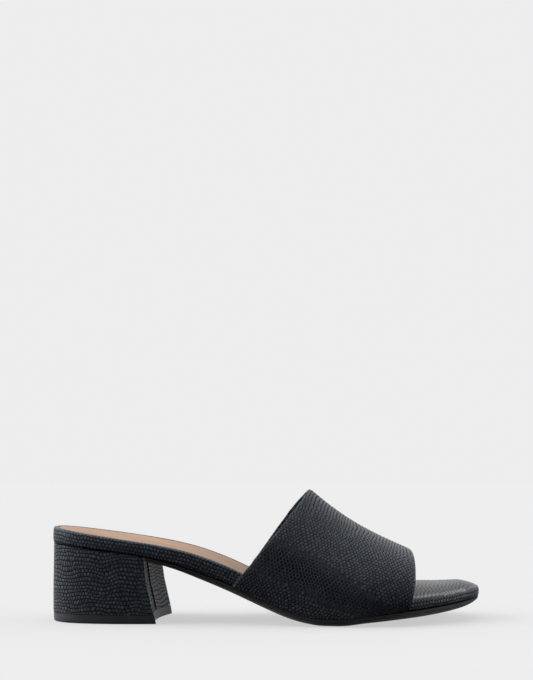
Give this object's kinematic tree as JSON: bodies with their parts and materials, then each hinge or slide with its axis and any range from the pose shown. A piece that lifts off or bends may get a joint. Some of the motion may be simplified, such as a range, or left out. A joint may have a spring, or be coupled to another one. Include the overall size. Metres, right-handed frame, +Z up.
{
  "type": "heeled sandal",
  "caption": "Open-backed heeled sandal with one wide leather band over the instep, open toe, covered block heel and thin outsole, right foot.",
  "frame": {"origin": "on the floor, under the middle of the shoe's box", "axes": "+X from the heel to the toe, +Y to the inner side of the foot, +Z up"},
  "size_m": [0.2434, 0.0888, 0.0733],
  "materials": {
    "band_leather": "black leather with an embossed lizard grain, semi-gloss",
    "heel_leather": "black leather with an embossed lizard grain, semi-gloss",
    "footbed_leather": "black leather with an embossed lizard grain, semi-gloss",
    "tan_lining": "smooth matt tan lining",
    "sole_rubber": "matt black rubber",
    "lift_rubber": "smooth dark grey rubber"
  },
  "bodies": {
    "root": {"heel_lift": "lift_rubber", "heel_block": "heel_leather", "outsole": "sole_rubber", "footbed": "footbed_leather", "sock_lining": "tan_lining", "vamp": "band_leather"}
  },
  "joints": []
}
